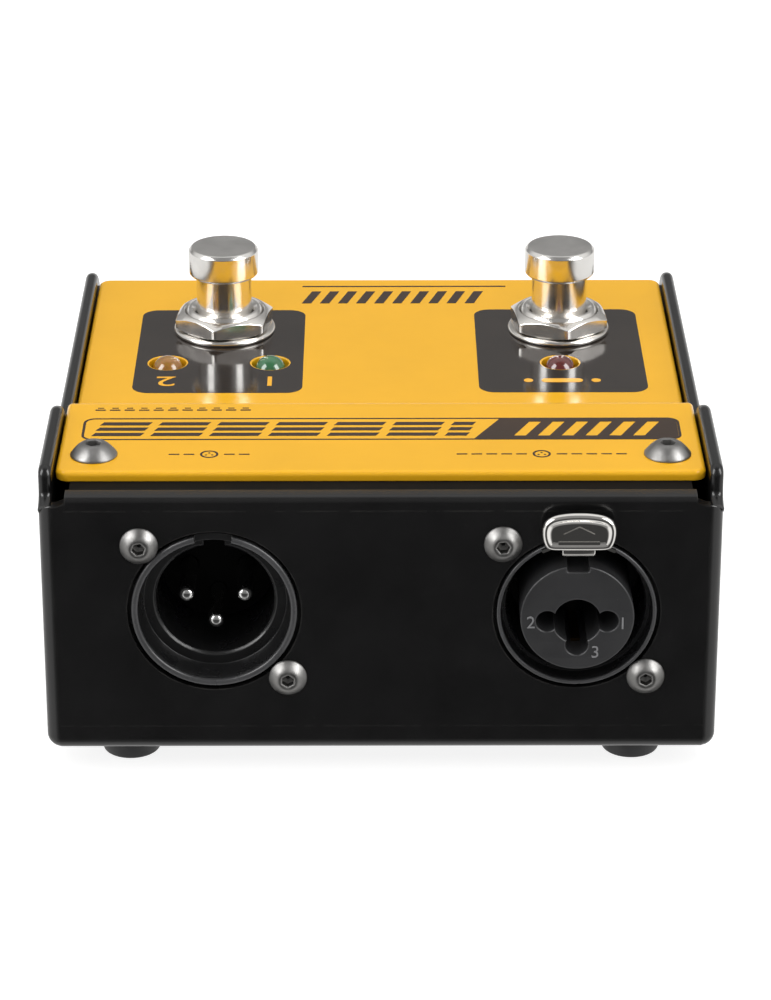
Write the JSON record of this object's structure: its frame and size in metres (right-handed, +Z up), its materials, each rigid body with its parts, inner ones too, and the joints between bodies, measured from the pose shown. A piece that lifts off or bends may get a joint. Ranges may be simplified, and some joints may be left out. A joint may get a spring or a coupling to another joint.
{
  "type": "two-switch direct injection foot box",
  "caption": "Steel floor box of the direct-injection family: stepped folded cover, chrome footswitches, lamps, a male three-pole socket and a combined three-pole and quarter-inch socket.",
  "frame": {"origin": "bottom centre of the whole box, on the plane that the rubber feet stand on", "axes": "+Z up, +Y from the connector face towards the user's side, +X to the right when looking at the connector face"},
  "size_m": [0.0952, 0.1042, 0.0528],
  "materials": {
    "black_powder_coat": "gloss",
    "yellow_powder_coat": "semi-gloss",
    "satin_steel": "satin",
    "zinc_steel": "satin",
    "bright_chrome": "mirror polish",
    "socket_plastic": "satin",
    "insert_plastic": "satin",
    "silver_contact": "bright",
    "gold_contact": "bright",
    "green_lens": "translucent",
    "amber_lens": "translucent",
    "red_lens": "translucent",
    "spacer_plastic": "matte",
    "board_green": "satin",
    "component_black": "satin",
    "brass_spacer": "machined",
    "switch_blue": "gloss",
    "rubber": "matte"
  },
  "bodies": {
    "case": {"chassis": "black_powder_coat", "top_cover": "yellow_powder_coat", "cover_screws": "satin_steel", "cover_nuts": "zinc_steel", "male_socket_housing": "socket_plastic", "male_socket_insert": "insert_plastic", "male_socket_pins": "silver_contact", "combo_socket_housing": "socket_plastic", "combo_socket_insert": "insert_plastic", "combo_latch_pin": "zinc_steel", "combo_latch_spring": "zinc_steel", "combo_pole_contacts": "gold_contact", "combo_jack_contacts": "silver_contact", "connector_screws": "satin_steel", "led_green": "green_lens", "led_amber": "amber_lens", "led_red": "red_lens", "led_spacers": "spacer_plastic", "main_circuit_board": "board_green", "board_components": "component_black", "board_standoffs": "brass_spacer", "board_screws": "zinc_steel", "rubber_feet": "rubber", "foot_screws": "zinc_steel", "left_bushing": "bright_chrome", "left_hex_nut": "bright_chrome", "left_washer": "bright_chrome", "left_lock_nut": "zinc_steel", "left_switch_body": "switch_blue", "left_terminals": "silver_contact", "left_return_spring": "zinc_steel", "right_bushing": "bright_chrome", "right_hex_nut": "bright_chrome", "right_washer": "bright_chrome", "right_lock_nut": "zinc_steel", "right_switch_body": "switch_blue", "right_terminals": "silver_contact", "right_return_spring": "zinc_steel"},
    "left_button": {"left_plunger": "bright_chrome"},
    "right_button": {"right_plunger": "bright_chrome"},
    "latch": {"combo_latch": "bright_chrome"}
  },
  "joints": [
    {"name": "left_press", "type": "slide", "parent": "case", "child": "left_button", "axis": [0, 0, -1], "range_m": [0, 0.0032], "stiffness_N_per_m": 2500, "springref_m": -0.002, "deforming": ["left_return_spring"]},
    {"name": "right_press", "type": "slide", "parent": "case", "child": "right_button", "axis": [0, 0, -1], "range_m": [0, 0.0032], "stiffness_N_per_m": 2500, "springref_m": -0.002, "deforming": ["right_return_spring"]},
    {"name": "latch_press", "type": "hinge", "parent": "case", "child": "latch", "pos_m": [0.02745, -0.0454, 0.03715], "axis": [-1, 0, 0], "range_deg": [0, 8], "stiffness_Nm_per_rad": 0.06, "springref_deg": -5.73}
  ]
}
